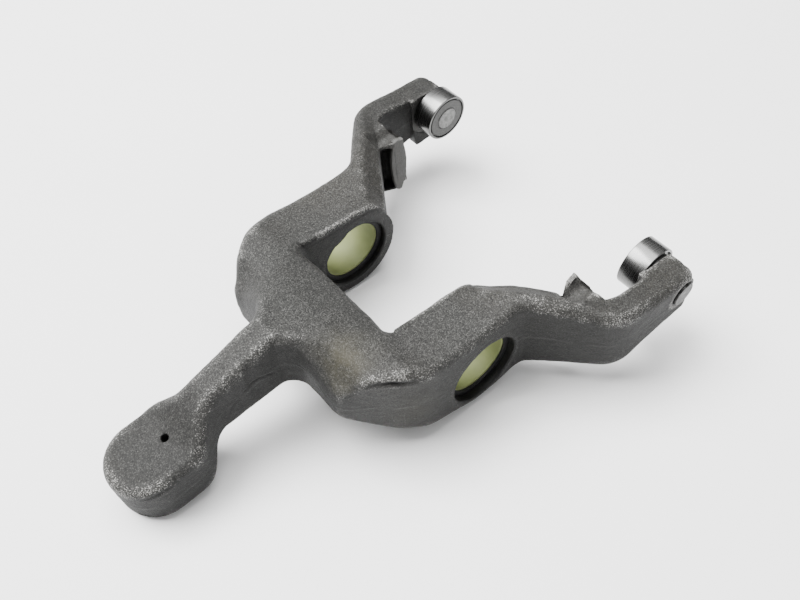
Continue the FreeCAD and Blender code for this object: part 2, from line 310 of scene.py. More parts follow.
def forged_material():
    """Shot-blasted forging: dark scale with fine grit, brighter grit where edges are worn, partly painted glints;
    painted shade on side walls, creases, hollows and in the bores.
    """
    m, nt, b = material("forged_steel")
    co = coordinate(nt)
    wear, machined, crease = attr(nt, "wear"), attr(nt, "machined"), attr(nt, "crease")
    hollow, bore, ridge = attr(nt, "hollow"), attr(nt, "bore"), attr(nt, "ridge")
    wall, sheared = attr(nt, "wall"), attr(nt, "sheared")
    broad = noise_node(nt, co, 17.0, 3.0, 0.6)
    tint = noise_node(nt, co, 11.0, 2.0, 0.5)
    blotch = noise_node(nt, co, 85.0, 4.0, 0.62, 0.4)
    streak = noise_node(nt, co, 260.0, 4.0, 0.70)
    grain = noise_node(nt, co, 900.0, 3.0, 0.75)
    fine = noise_node(nt, co, 1700.0, 2.0, 0.7)
    col = mix(nt, remap(nt, broad, 0.3, 0.7), (0.0205, 0.0210, 0.0192), (0.0270, 0.0262, 0.0248))
    col = mix(nt, remap(nt, tint, 0.45, 0.75, 0, 0.6, True), col, (0.031, 0.0285, 0.0225))
    col = mix(nt, remap(nt, blotch, 0.45, 0.75, 0, 0.40), col, (0.036, 0.035, 0.0325))
    # grit: dark pits and pale peaks, under half a millimetre
    sep = nt.nodes.new("ShaderNodeSeparateColor")
    nt.links.new(voronoi(nt, co, 1800.0, "F1", "Color"), sep.inputs[0])
    col = mix(nt, remap(nt, sep.outputs[0], 0.62, 0.0, 0, 1.0), col, (0.0035, 0.0035, 0.0033))
    col = mix(nt, remap(nt, sep.outputs[1], 0.64, 1.0, 0, 0.62), col, (0.104, 0.103, 0.098))
    col = mix(nt, remap(nt, grain, 0.50, 0.38, 0, 0.40), col, (0.006, 0.006, 0.0056))
    col = mix(nt, remap(nt, fine, 0.54, 0.66, 0, 0.3), col, (0.062, 0.061, 0.058))
    col = mix(nt, math_node(nt, "MULTIPLY", attr(nt, "warm"), remap(nt, blotch, 0.35, 0.6, 0.25, 0.60)), col, (0.060, 0.054, 0.034))
    # darker patches on the pad and the arms, with painted shade on the pad's side walls and the beam's front flank
    col = mix(nt, attr(nt, "tone"), col, (0.002, 0.002, 0.0018))
    # painted shade: steep side walls facing away from the overhead light are darkened
    col = mix(nt, math_node(nt, "MULTIPLY", wall, 0.72), col, (0.006, 0.006, 0.0056))
    # worn edges: single bright grains, thicker towards the crest; partly real wear, partly painted glints and sheen
    # where edges catch the light
    glint = nt.nodes.new("ShaderNodeSeparateColor")
    nt.links.new(voronoi(nt, co, 2300.0, "F1", "Color"), glint.inputs[0])
    drift = math_node(nt, "MULTIPLY", wear, remap(nt, streak, 0.30, 0.65, 0.45, 1.15))
    chance = math_node(nt, "ADD", math_node(nt, "MULTIPLY", drift, 0.50), 0.015)
    polish_and_glint = remap(nt, math_node(nt, "ADD", glint.outputs[0], chance), 0.98, 1.20)
    col = mix(nt, math_node(nt, "MULTIPLY", drift, 0.5), col, (0.060, 0.059, 0.056))
    col = mix(nt, polish_and_glint, col, (0.26, 0.256, 0.245))
    # painted shade in concave creases, the guide tab's pocket, the beam's rear roll-over and the pad face by the roller
    col = mix(nt, math_node(nt, "MULTIPLY", hollow, 0.75), col, (0.008, 0.008, 0.0075))
    col = mix(nt, math_node(nt, "MULTIPLY", ridge, 0.22), col, (0.055, 0.054, 0.052))
    # painted shade in the pressed and trimmed creases
    col = mix(nt, crease, col, (0.003, 0.003, 0.0028))
    col = mix(nt, math_node(nt, "MULTIPLY", machined, 0.8), col, (0.060, 0.059, 0.057))
    # the sheared tab face is lighter in its own colour; the tabs' upward faces also get a little painted light
    col = mix(nt, math_node(nt, "MULTIPLY", sheared, 0.7), col, (0.105, 0.104, 0.100))
    # painted shade inside the bores: the bore walls go near black, partly oily steel
    col = mix(nt, bore, col, (0.005, 0.005, 0.0047))
    nt.links.new(col, b.inputs["Base Color"])
    met = remap(nt, math_node(nt, "MAXIMUM", machined, polish_and_glint), 0, 1, 0.12, 0.60)
    nt.links.new(met, b.inputs["Metallic"])
    b.inputs["Specular IOR Level"].default_value = 0.25
    r = remap(nt, grain, 0.3, 0.7, 0.54, 0.74)
    r = math_node(nt, "SUBTRACT", r, math_node(nt, "MULTIPLY", wear, 0.10))
    nt.links.new(r, b.inputs["Roughness"])
    h = math_node(nt, "ADD", grain, math_node(nt, "MULTIPLY", fine, 0.5))
    n1 = bump(nt, blotch, 0.6, 0.0007)
    keep = remap(nt, math_node(nt, "MAXIMUM", machined, bore), 0, 1, 1.0, 0.12)
    nt.links.new(bump(nt, math_node(nt, "MULTIPLY", h, keep), 1.0, 0.0003, n1), b.inputs["Normal"])
    return m


def turned_material(name, colour, rough, line=0.06, wave=0.0, bump_mm=0.004):
    """Turned or ground steel: fine rings along the feed, with painted shade in recesses marked by an attribute."""
    m, nt, b = material(name)
    uv = coordinate(nt, "UV")
    rings = noise_node(nt, scaled(nt, uv, (0.03, 9.0, 1.0)), 1.0, 4.0, 0.6)
    cloud = noise_node(nt, coordinate(nt), 160.0, 3.0, 0.6)
    col = mix(nt, remap(nt, rings, 0.3, 0.7), tuple(c * (1 - line) for c in colour), tuple(min(1, c * (1 + line)) for c in colour))
    col = mix(nt, remap(nt, cloud, 0.5, 0.8, 0, 0.35), col, tuple(c * 0.75 for c in colour))
    grime = attr(nt, "grime")
    # painted shade: the counterbore recess goes near black and loses its metal sheen
    col = mix(nt, grime, col, (0.006, 0.006, 0.0055))
    nt.links.new(col, b.inputs["Base Color"])
    nt.links.new(remap(nt, grime, 0, 1, 1.0, 0.1), b.inputs["Metallic"])
    r = remap(nt, rings, 0.3, 0.7, rough * 0.85, rough * 1.2)
    nt.links.new(r, b.inputs["Roughness"])
    nt.links.new(bump(nt, rings, 0.4, bump_mm * MM), b.inputs["Normal"])
    return m


def grainy_material(name, colour, dark, rough, metallic, scale=700.0, bump_mm=0.06):
    m, nt, b = material(name)
    co = coordinate(nt)
    g = noise_node(nt, co, scale, 4.0, 0.65)
    c2 = noise_node(nt, co, scale * 0.22, 3.0, 0.6)
    col = mix(nt, remap(nt, g, 0.35, 0.68), dark, colour)
    col = mix(nt, remap(nt, c2, 0.45, 0.75, 0, 0.5), col, tuple(0.5 * (a + d) for a, d in zip(colour, dark)))
    if name.startswith("peened"):
        # the riveted outer end keeps patches of dark scale
        patch = remap(nt, noise_node(nt, co, 230.0, 3.0, 0.6), 0.64, 0.52)
        col = mix(nt, math_node(nt, "MULTIPLY", attr(nt, "outer"), patch), col, (0.02, 0.02, 0.019))
    nt.links.new(col, b.inputs["Base Color"])
    b.inputs["Metallic"].default_value = metallic
    if metallic == 0.0:
        b.inputs["Specular IOR Level"].default_value = 0.12
    nt.links.new(remap(nt, g, 0.3, 0.7, rough * 1.15, rough * 0.85), b.inputs["Roughness"])
    nt.links.new(bump(nt, g, 0.6, bump_mm * MM), b.inputs["Normal"])
    return m


def bush_material():
    m, nt, b = material("cream_bush")
    uv = coordinate(nt, "UV")
    co = coordinate(nt)
    rings = noise_node(nt, scaled(nt, uv, (0.05, 5.0, 1.0)), 1.0, 3.0, 0.6)
    cloud = noise_node(nt, co, 90.0, 3.0, 0.55)
    col = mix(nt, remap(nt, cloud, 0.3, 0.7), (0.176, 0.200, 0.080), (0.206, 0.230, 0.100))
    col = mix(nt, remap(nt, rings, 0.55, 0.8, 0, 0.25), col, (0.168, 0.182, 0.083))
    nt.links.new(col, b.inputs["Base Color"])
    nt.links.new(remap(nt, rings, 0.3, 0.7, 0.55, 0.7), b.inputs["Roughness"])
    b.inputs["Specular IOR Level"].default_value = 0.25
    nt.links.new(bump(nt, rings, 0.3, 0.01 * MM), b.inputs["Normal"])
    b.inputs["Subsurface Weight"].default_value = 0.08
    b.inputs["Subsurface Radius"].default_value = (0.002, 0.002, 0.001)
    return m


def floor_material():
    m, nt, b = material("studio_floor")
    g = noise_node(nt, coordinate(nt), 6.0, 2.0, 0.5)
    col = mix(nt, remap(nt, g, 0.3, 0.7), (0.84, 0.84, 0.84), (0.86, 0.86, 0.86))
    nt.links.new(col, b.inputs["Base Color"])
    b.inputs["Roughness"].default_value = 0.9
    b.inputs["Specular IOR Level"].default_value = 0.1
    return m


# ------------------------------------------------------------ the forged body
def cylinder_y(r, y0, y1, x=0.0, z=0.0, segs=96, r1=None):
    """Closed cylinder or cone along Y in the drawing frame, as (verts, faces)."""
    r1 = r if r1 is None else r1
    v, f = [], []
    for rr, y in ((r, y0), (r1, y1)):
        for i in range(segs):
            a = 2 * math.pi * i / segs
            v.append((x + rr * math.cos(a), y, z + rr * math.sin(a)))
    for i in range(segs):
        j = (i + 1) % segs
        f.append((i, i + segs, j + segs, j))
    f.append(tuple(range(segs)))
    f.append(tuple(range(2 * segs - 1, segs - 1, -1)))
    return v, f


def revolve_y(profile, x=0.0, z=0.0, segs=96):
    """Closed solid from a profile [(r, y)...] whose ends are capped."""
    v, f = [], []
    n = len(profile)
    for r, y in profile:
        for i in range(segs):
            a = 2 * math.pi * i / segs
            v.append((x + r * math.cos(a), y, z + r * math.sin(a)))
    for k in range(n - 1):
        for i in range(segs):
            j = (i + 1) % segs
            f.append((k * segs + i, (k + 1) * segs + i, (k + 1) * segs + j, k * segs + j))
    f.append(tuple(range(segs)))
    f.append(tuple(range(n * segs - 1, (n - 1) * segs - 1, -1)))
    return v, f


def mirror_solid(s):
    v, f = s
    return [(x, -y, z) for x, y, z in v], [tuple(reversed(q)) for q in f]


def prism(poly, y0, y1):
    """Closed prism of an XZ polygon between y0 and y1."""
    n = len(poly)
    v = [(x, y0, z) for x, z in poly] + [(x, y1, z) for x, z in poly]
    f = [(i, (i + 1) % n, n + (i + 1) % n, n + i) for i in range(n)]
    f += [tuple(range(n - 1, -1, -1)), tuple(range(n, 2 * n))]
    return v, f


def solid_mesh(solids, name="solid"):
    bm = bmesh.new()
    for v, f in solids:
        vs = [bm.verts.new(tuple(q)) for q in rest(np.array(v))]
        for q in f:
            bm.faces.new([vs[i] for i in q])
    bmesh.ops.recalc_face_normals(bm, faces=bm.faces)
    me = bpy.data.meshes.new(name)
    bm.to_mesh(me)
    bm.free()
    return me


def cut(ob, solids, how="DIFFERENCE"):
    c = link("cutter", solid_mesh(solids, "cutter"))
    m = ob.modifiers.new("cut", "BOOLEAN")
    m.operation = how
    m.solver = "MANIFOLD"
    m.object = c
    apply_modifiers(ob)
    me = c.data
    bpy.data.objects.remove(c)
    bpy.data.meshes.remove(me)


VOXEL = 1.0
TARGET = 176000

ARM_INNER, END_INNER, END_X, SHOULDER_X, LEVER_HALF = 41.5, 106.5, 135.5, -88.0, 10.8
TOP_ARM = [(-110, 27), (-94, 31), (-86, 37), (-78, 45.5), (-67, 52.5), (-56, 53), (-46, 49.5),
           (-38, 46.6), (-20, 43), (0, 40.2), (18, 39.2), (38, 40.6), (50, 38), (66, 31.8),
           (82, 27.4), (100, 23.2), (121, 19.6), (150, 15)]
TOP_MID = [(-230, 32.3), (-172, 32.3), (-163, 35.5), (-155, 42), (-147, 48.5), (-138, 53),
           (-114, 59.5), (-97, 62.8), (-80, 60), (-62, 56.0), (-43, 52.0), (-20, 47), (150, 40)]
INNER_DROP = [(8, 0), (18, 6.5), (26, 14), (33, 12), (42, 8), (52, 6), (64, 4.5), (76, 1.5), (86, 0)]


def ramp(t):
    t = max(0.0, min(1.0, t))
    return t * t * (3 - 2 * t)


def curve(pts, x):
    """Monotone cubic through (x, z) stations."""
    n = len(pts)
    if x <= pts[0][0]:
        return pts[0][1]
    if x >= pts[-1][0]:
        return pts[-1][1]
    d = [(pts[i + 1][1] - pts[i][1]) / (pts[i + 1][0] - pts[i][0]) for i in range(n - 1)]
    m = [d[0]] + [0.0 if d[i - 1] * d[i] <= 0 else 2 * d[i - 1] * d[i] / (d[i - 1] + d[i])
                  for i in range(1, n - 1)] + [d[-1]]
    for i in range(n - 1):
        if x <= pts[i + 1][0]:
            h = pts[i + 1][0] - pts[i][0]
            t = (x - pts[i][0]) / h
            return (pts[i][1] * (1 + 2 * t) * (1 - t) ** 2 + pts[i + 1][1] * t * t * (3 - 2 * t)
                    + h * m[i] * t * (1 - t) ** 2 - h * m[i + 1] * t * t * (1 - t))


def z_top(x, y):
    """Height of the forging's top skin."""
    y = abs(y)
    w = ramp((y - 16) / 34.0)
    z = (1 - w) * curve(TOP_MID, x) + w * curve(TOP_ARM, x)
    s = (x - 46) * 0.81 - (y - 83) * 0.58
    return z - curve(INNER_DROP, x) * ramp((s + 5) / 15.0) * ramp((y - 30) / 11.0)


def rounded_path(pts, step=1.6):
    """Points along an open path of straight lines joined by tangent arcs."""
    out = [(pts[0][0], pts[0][1])]
    for i in range(1, len(pts) - 1):
        p0, p1, p2 = (np.array(pts[k][:2], float) for k in (i - 1, i, i + 1))
        r = pts[i][2]
        u, w = (p0 - p1) / np.linalg.norm(p0 - p1), (p2 - p1) / np.linalg.norm(p2 - p1)
        half = math.acos(float(np.clip(u @ w, -1, 1))) / 2
        t = r / math.tan(half)
        bis = (u + w) / np.linalg.norm(u + w)
        c = p1 + bis * (r / math.sin(half))
        a0, a1 = p1 + u * t - c, p1 + w * t - c
        n = max(3, int(math.acos(float(np.clip(a0 @ a1 / r / r, -1, 1))) * r / step))
        for k in range(n + 1):
            q = a0 * (1 - k / n) + a1 * k / n
            out.append(tuple(c + q / np.linalg.norm(q) * r))
    out.append((pts[-1][0], pts[-1][1]))
    dense = []
    for (xa, ya), (xb, yb) in zip(out, out[1:]):
        n = max(1, int(math.hypot(xb - xa, yb - ya) / step))
        dense += [(xa + (xb - xa) * k / n, ya + (yb - ya) * k / n) for k in range(n)]
    dense.append(out[-1])
    return np.array(dense)


def inner_edge():
    """The crisp upper edge along an arm's inner wall, as a closed strip of the forging."""
    path = rounded_path([(129.0, END_INNER, 0), (74.5, END_INNER, 24.0), (27.0, ARM_INNER, 12.0), (-37.0, ARM_INNER, 0)])
    tan = np.gradient(path, axis=0)
    tan /= np.linalg.norm(tan, axis=1)[:, None]
    nor = np.stack([tan[:, 1], -tan[:, 0]], -1)
    section = [(0.0, -2.6), (0.35, -1.3), (1.2, -0.4), (2.6, -0.05), (5.5, 0.0), (9.5, -0.1), (9.5, -9.0), (0.0, -9.0)]
    k = len(section)
    v, f = [], []
    for i, (p, n) in enumerate(zip(path, nor)):
        for off, dz in section:
            x, y = p + n * off
            v.append((x, y, z_top(x, y) + dz))
        if i:
            for j in range(k):
                a, b = (i - 1) * k + j, (i - 1) * k + (j + 1) % k
                f.append((a, b, b + k, a + k))
    f.append(tuple(range(k)))
    f.append(tuple(range(len(v) - 1, len(v) - 1 - k, -1)))
    return v, f


def arc3(p, q, r, n=12):
    """Points from p to r along the circle through p, q, r."""
    p, q, r = (np.array(a, float) for a in (p, q, r))
    d = 2 * (p[0] * (q[1] - r[1]) + q[0] * (r[1] - p[1]) + r[0] * (p[1] - q[1]))
    cx = ((p @ p) * (q[1] - r[1]) + (q @ q) * (r[1] - p[1]) + (r @ r) * (p[1] - q[1])) / d
    cz = ((p @ p) * (r[0] - q[0]) + (q @ q) * (p[0] - r[0]) + (r @ r) * (q[0] - p[0])) / d
    a = [math.atan2(t[1] - cz, t[0] - cx) for t in (p, q, r)]
    rad = math.hypot(p[0] - cx, p[1] - cz)
    for i in (1, 2):
        while a[i] - a[i - 1] > math.pi:
            a[i] -= 2 * math.pi
        while a[i] - a[i - 1] < -math.pi:
            a[i] += 2 * math.pi
    return [(cx + rad * math.cos(a[0] + (a[2] - a[0]) * i / n), cz + rad * math.sin(a[0] + (a[2] - a[0]) * i / n))
            for i in range(n + 1)]


def tab_blade():
    """Guide tab: a lens-shaped blade whose inner end is cut square to the arm's run."""
    lens = (arc3((67.4, 27.6), (64.0, 4.0), (66.6, -19.6)) + [(68.4, -20.9)]
            + arc3((70.2, -20.6), (76.2, 4.0), (74.0, 26.9)) + [(71.0, 28.2)])
    v, f = [], []
    n = len(lens)
    back = []
    for x, z in lens:
        face = 79.6 + (x - 62.6) * (76.4 - 79.6) / (85 - 62.6)
        back.append(face)
    cx, cz = np.mean(lens, axis=0)
    rows = []
    for inset, depth in ((0.45, 0.0), (0.0, 0.45), (0.0, 3.2)):
        row = []
        for (x, z), face in zip(lens, back):
            dx, dz = cx - x, cz - z
            d = math.hypot(dx, dz)
            row.append(len(v))
            far = max(0.0, depth - 8)
            v.append((x + dx / d * inset - 0.35 * far, face + depth, z + dz / d * inset))
        rows.append(row)
    for a, b in zip(rows, rows[1:]):
        for i in range(n):
            j = (i + 1) % n
            f.append((a[i], a[j], b[j], b[i]))
    f.append(tuple(reversed(rows[0])))
    f.append(tuple(rows[-1]))
    return v, f


def tab_web():
    """What is left of the web under the blade, beside the open pocket."""
    return prism([(69.8, 18.0), (75.0, 18.0), (75.3, 8.0), (74.6, -5.0), (72.6, -14.0), (70.9, -20.3), (69.8, -20.3)],
                 81.0, 90.0)


def slab(poly, z0, z1):
    """Upright prism on a plan outline."""
    k = len(poly)
    v = [(x, y, z) for z in (z0, z1) for x, y in poly]
    f = [(i, (i + 1) % k, k + (i + 1) % k, k + i) for i in range(k)]
    f += [tuple(reversed(range(k))), tuple(range(k, 2 * k))]
    return v, f


def end_pad():
    """Raised pad that the roller pin goes through, flush with the arm's top."""
    top = [(x, z_top(x, 106) - 2.2) for x in (105.2, 109, 113, 117, 121, 125, 129, 133.5)]
    return prism(top + [(134.0, 10.0), (134.0, -22.5), (107.8, -23.5), (105.2, -13.0)], PAD_FACE, 112.0)


def post(x, y, r, z0, z1, segs=48):
    """Upright cylinder."""
    ang = [2 * math.pi * i / segs for i in range(segs)]
    v = [(x + r * math.cos(a), y + r * math.sin(a), z) for z in (z0, z1) for a in ang]
    f = [(i, (i + 1) % segs, segs + (i + 1) % segs, segs + i) for i in range(segs)]
    f += [tuple(reversed(range(segs))), tuple(range(segs, 2 * segs))]
    return v, f


def near_line(d, pts):
    """Distance from points d (n, 3) to a polyline, and the place 0..1 along it."""
    pts = np.asarray(pts, float)
    seg = np.linalg.norm(np.diff(pts, axis=0), axis=1)
    cum = np.concatenate([[0], np.cumsum(seg)])
    best, at = np.full(len(d), 1e9), np.zeros(len(d))
    for i in range(len(seg)):
        a, b = pts[i], pts[i + 1]
        t = np.clip(((d - a) @ (b - a)) / max(seg[i] ** 2, 1e-9), 0, 1)
        q = np.linalg.norm(d - (a + t[:, None] * (b - a)), axis=1)
        k = q < best
        best[k], at[k] = q[k], (cum[i] + t[k] * seg[i]) / cum[-1]
    return best, at


def profile(at, stops):
    return np.interp(at, [a for a, _ in stops], [b for _, b in stops])


# creases pressed or trimmed into the forging: line, half width, depth along it
CREASES = [
    ([(-82.1, -50.4, 41.4), (-74.7, -58.7, 46.6), (-68.4, -64.0, 49.0), (-62.1, -68.9, 48.9), (-56.1, -72.7, 46.6),
      (-49.1, -75.6, 44.6), (-43.4, -77.5, 43.3)], 1.15, [(0, 0.05), (0.3, 0.35), (0.5, 0.9), (0.6, 1.5), (0.72, 0.9), (0.85, 0.5), (1, 0.0)]),
    ([(-203.2, -14.2, 26.4), (-200.4, -17.4, 26.2), (-197.2, -19.9, 26.4), (-190.9, -22.8, 27.4), (-186.0, -23.6, 27.6),
      (-180.8, -24.0, 27.2)], 0.95, [(0, 0.0), (0.25, 0.35), (0.5, 0.8), (0.8, 0.7), (1, 0.0)]),
    ([(-137.4, -10.8, 25.4), (-128.4, -10.8, 34.7), (-116.0, -10.8, 40.0), (-111.0, -10.8, 39.5), (-105.3, -10.8, 37.4),
      (-99.6, -10.8, 34.7)], 0.9, [(0, 0.1), (0.2, 0.55), (0.45, 0.3), (0.6, 0.8), (0.85, 0.6), (1, 0.0)]),
    ([(-205.7, -10.7, 4.4), (-203.5, -14.2, 2.8), (-199.3, -18.7, 1.0), (-194.3, -21.9, 0.9), (-189.7, -23.5, 1.2)],
     0.8, [(0, 0.1), (0.3, 0.8), (0.8, 0.8), (1, 0.0)]),
    # the same places on the other flank, a little different
    ([(-80.0, 53.0, 43.5), (-72.0, 61.0, 48.0), (-63.0, 68.6, 48.6), (-52.0, 74.6, 45.6), (-42.0, 77.9, 43.0)],
     1.1, [(0, 0.0), (0.35, 0.7), (0.6, 0.45), (0.8, 0.9), (1, 0.0)]),
    ([(-139.0, 10.8, 24.0), (-127.0, 10.8, 35.5), (-112.0, 10.8, 40.5), (-98.0, 10.8, 35.0)],
     0.9, [(0, 0.0), (0.3, 0.6), (0.7, 0.4), (1, 0.0)]),
]


def forging():
    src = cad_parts["fork_body"]
    bm = bmesh.new()
    bm.from_mesh(src.data)
    bm.transform(src.matrix_world)
    bmesh.ops.remove_doubles(bm, verts=bm.verts, dist=2e-6)
    cad = BVHTree.FromBMesh(bm)
    me = bpy.data.meshes.new("fork_forging")
    bm.to_mesh(me)
    bm.free()
    plugs = []
    for s in (1, -1):
        for p in (cylinder_y(BORE_R + 2.5, BOSS_FACE - 0.5, 77.6),
                  cylinder_y(BOSS_R - 0.2, BOSS_FACE - 0.5, 60),
                  cylinder_y(PIN_R + 2.5, PAD_FACE + 1.5, END_OUTER - 1.0, ROLLER_X, ROLLER_Z),
                  inner_edge()):
            plugs.append(p if s > 0 else mirror_solid(p))
    plug = solid_mesh(plugs, "plugs")
    bm = bmesh.new()
    bm.from_mesh(me)
    bm.from_mesh(plug)
    bm.to_mesh(me)
    bm.free()
    bpy.data.meshes.remove(plug)
    ob = link("fork_forging", me)
    r = ob.modifiers.new("remesh", "REMESH")
    r.mode = "VOXEL"
    r.voxel_size = VOXEL * MM
    s = ob.modifiers.new("smooth", "SMOOTH")
    s.factor = 0.5
    s.iterations = 2
    apply_modifiers(ob)
    me = ob.data
    v, n = coords(me), normals(me)
    # pull the remeshed skin back onto the true surface wherever it is the same surface
    near = np.array(v)
    for i, p in enumerate(v):
        hit = cad.find_nearest(Vector(p), 0.0016)[0]
        if hit is not None:
            near[i] = hit
    far = np.linalg.norm(near - v, axis=1) / MM
    flat = np.abs(((near - v) * n).sum(1)) / MM
    pull = smoothstep(0.75, 0.35, far) * (far < 1.5)
    v = v + n * (((near - v) * n).sum(1) * pull)[:, None]
    set_coords(me, v)
    n = normals(me)
    d = design(v)
    nd = np.stack([n[:, 0] * CO + n[:, 2] * SI, n[:, 1], -n[:, 0] * SI + n[:, 2] * CO], -1)
    ay = np.abs(d[:, 1])
    disp = np.empty(len(v))
    lump = np.empty(len(v))
    rag = np.empty(len(v))
    for i, p in enumerate(v):
        q = Vector(p)
        disp[i] = (0.30 * noise.noise(q * 38.0) + 0.20 * noise.noise(q * 95.0 + Vector((3, 7, 1)))
                   + 0.13 * noise.noise(q * 230.0 + Vector((9, 2, 5))) + 0.07 * noise.noise(q * 480.0))
        lump[i] = noise.noise(q * 62.0 + Vector((5, 1, 8)))
        rag[i] = noise.noise(q * 150.0 + Vector((2, 6, 4)))
    # the vent and machined places stay calm
    calm = smoothstep(3.0, 6.0, np.hypot(d[:, 0] - CUP_X, d[:, 1]))
    disp *= 0.3 + 0.7 * calm

    # parting line: a thin trimmed ridge at mid-height of the side walls
    wall = smoothstep(0.80, 0.97, np.hypot(nd[:, 0], nd[:, 1]))
    mid = np.full(len(v), 1e3)
    up, down = Vector((-SI, 0, CO)), Vector((SI, 0, -CO))
    for i in np.nonzero(wall > 0.05)[0]:
        o = Vector(v[i]) - Vector(n[i]) * 0.004
        a, b = cad.ray_cast(o, up)[0], cad.ray_cast(o, down)[0]
        if a is not None and b is not None:
            za, zb = design(np.array(a))[2], design(np.array(b))[2]
            mid[i] = d[i, 2] - (0.5 * (za + zb) + 0.8 * lump[i])
    ridge = np.exp(-(mid / 0.9) ** 2) * wall * smoothstep(-0.35, 0.35, lump + 0.5 * rag)
    inner = (ay < 42.5) & (d[:, 0] > -30)
    ridge[inner] *= 0.4
    disp += 0.22 * ridge - 0.06 * np.exp(-((np.abs(mid) - 2.4) / 1.2) ** 2) * wall * (ridge < 0.3)

    # the lever's upper edges were trimmed unevenly
    sx = smoothstep(-146, -136, d[:, 0]) * smoothstep(-82, -92, d[:, 0])
    edge_side = np.exp(-((ay - 10.2) / 1.9) ** 2) * sx * smoothstep(20, 30, d[:, 2]) * (np.abs(nd[:, 2]) < 0.93)
    bite = np.array([noise.noise(Vector((x * 0.17, 3.0 * (1 if y > 0 else -1), 0.5))) for x, y in zip(d[:, 0], d[:, 1])])
    disp -= edge_side * (0.1 + np.where(d[:, 1] < 0, 1.05, 0.3) * np.clip(bite + 0.12, 0, 1))

    crease = np.zeros(len(v))
    for line, half, depth in CREASES:
        dist, at = near_line(d, line)
        k = profile(at, depth)
        g = np.exp(-(dist / half) ** 2) * k * (0.8 + 0.4 * lump)
        lip = np.exp(-((dist - 2.3 * half) / (0.9 * half)) ** 2) * k
        disp += -g + 0.22 * lip
        crease = np.maximum(crease, np.clip(g * 1.1, 0, 1))
    # the beam rolls over gently into the shoulders' rear walls
    for sgn, deep in ((-1, 2.6), (1, 2.0)):
        dist, at = near_line(d, [(-84.0, sgn * 15.0, 60.0), (-86.0, sgn * 22.0, 57.0), (-86.5, sgn * 32.0, 48.0),
                                 (-86.0, sgn * 42.0, 41.0), (-83.0, sgn * 50.0, 41.0)])
        disp -= deep * np.exp(-(dist / 6.5) ** 2) * profile(at, [(0, 0.0), (0.2, 0.9), (0.8, 1.0), (1, 0.35)])
    v = v + n * (disp * MM)[:, None]

    # the inner corner above the bore is rounded off
    w = np.exp(-((d[:, 0] - 15.0) ** 2 + (ay - 45.5) ** 2) / 90.0) * smoothstep(30, 36, d[:, 2])
    v = v + rest(np.stack([0 * w, 0 * w, -2.2 * w], -1))

    # the guide tab's web sags between the arm and the blade
    w = smoothstep(79.8, 86.5, ay) * smoothstep(97, 90, ay) * smoothstep(53, 59, d[:, 0]) * smoothstep(81, 76, d[:, 0])
    w *= smoothstep(12, 22, d[:, 2]) * smoothstep(0.0, 0.35, nd[:, 2])
    v = v + rest(np.stack([0 * w, 0 * w, -5.0 * w], -1))

    # the beam's front flank falls away towards the gap between the arms
    w = smoothstep(-72, -42, d[:, 0]) * smoothstep(46, 25, ay) * smoothstep(-6, 12, d[:, 2] - 30)
    w *= smoothstep(-30, -36, d[:, 0])
    shift = np.stack([2.7 * w, 0 * w, -5.2 * w], -1)
    v = v + (rest(shift) if len(shift) else 0)

    lo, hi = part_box("fork_body")
    v = np.clip(v, np.array(lo), np.array(hi))
    set_coords(me, v)
    # the crease mask darkens the grooves as painted shade
    attribute(me, "crease", crease)
    attribute(me, "ridge", np.clip(ridge, 0, 1))

    tris = 2 * len(me.polygons)
    print("forging", len(me.vertices), tris)
    if tris > TARGET:
        dm = ob.modifiers.new("thin", "DECIMATE")
        dm.ratio = TARGET / tris
        apply_modifiers(ob)

    add = []
    for s in (1, -1):
        for p in (tab_blade(), tab_web(), end_pad(),
                  slab([(58.2, 85.4), (66.9, 81.2), (70.5, 81.2), (70.5, 91.5), (58.2, 91.5)], -21.0, -19.4),
                  slab([(58.2, 88.6), (70.5, 88.6), (70.5, 91.5), (58.2, 91.5)], -21.0, -12.0)):
            add.append(p if s > 0 else mirror_solid(p))
    for p in add:
        cut(ob, [p], "UNION")
    tools = [revolve_y([(BORE_R + 0.8, 30), (BORE_R + 0.8, BOSS_FACE), (BORE_R, BOSS_FACE + 0.8),
                        (BORE_R, ARM_OUTER - 0.5), (BORE_R + 4.2, ARM_OUTER + 3.7)]),
             revolve_y([(PIN_R + 0.05, 95), (PIN_R + 0.05, END_OUTER - 1.8), (PIN_R + 4.0, END_OUTER + 2.2)], ROLLER_X, ROLLER_Z),
             cylinder_y(BOSS_R + 0.6, 30, BOSS_FACE),
             cylinder_y(21.5, 88, PAD_FACE - 0.001, ROLLER_X, ROLLER_Z),
             post(65.6, 86.2, 4.4, -19.4, 18.5),
             prism([(76.6, 3.0), (81.0, 3.0), (81.0, -24.0), (71.2, -24.0), (71.2, -20.6), (73.5, -14.0), (75.8, -6.0)],
                   78.0, 91.5)]
    for t in tools:
        for s in (1, -1):
            cut(ob, [t if s > 0 else mirror_solid(t)])
    me = ob.data
    v = coords(me)
    d = design(v)
    n = normals(me)
    ay = np.abs(d[:, 1])

    # curvature from neighbours: convex edges are worn bright, partly real wear and partly painted highlight
    e = np.empty(len(me.edges) * 2, np.int32)
    me.edges.foreach_get("vertices", e)
    e = e.reshape(-1, 2)
    cnt = np.bincount(e.ravel(), minlength=len(v)).astype(float)

    def around(x):
        s2 = np.zeros(len(v))
        for a, b in ((0, 1), (1, 0)):
            s2 += np.bincount(e[:, a], x[e[:, b]], minlength=len(v))
        return s2 / np.maximum(cnt, 1)

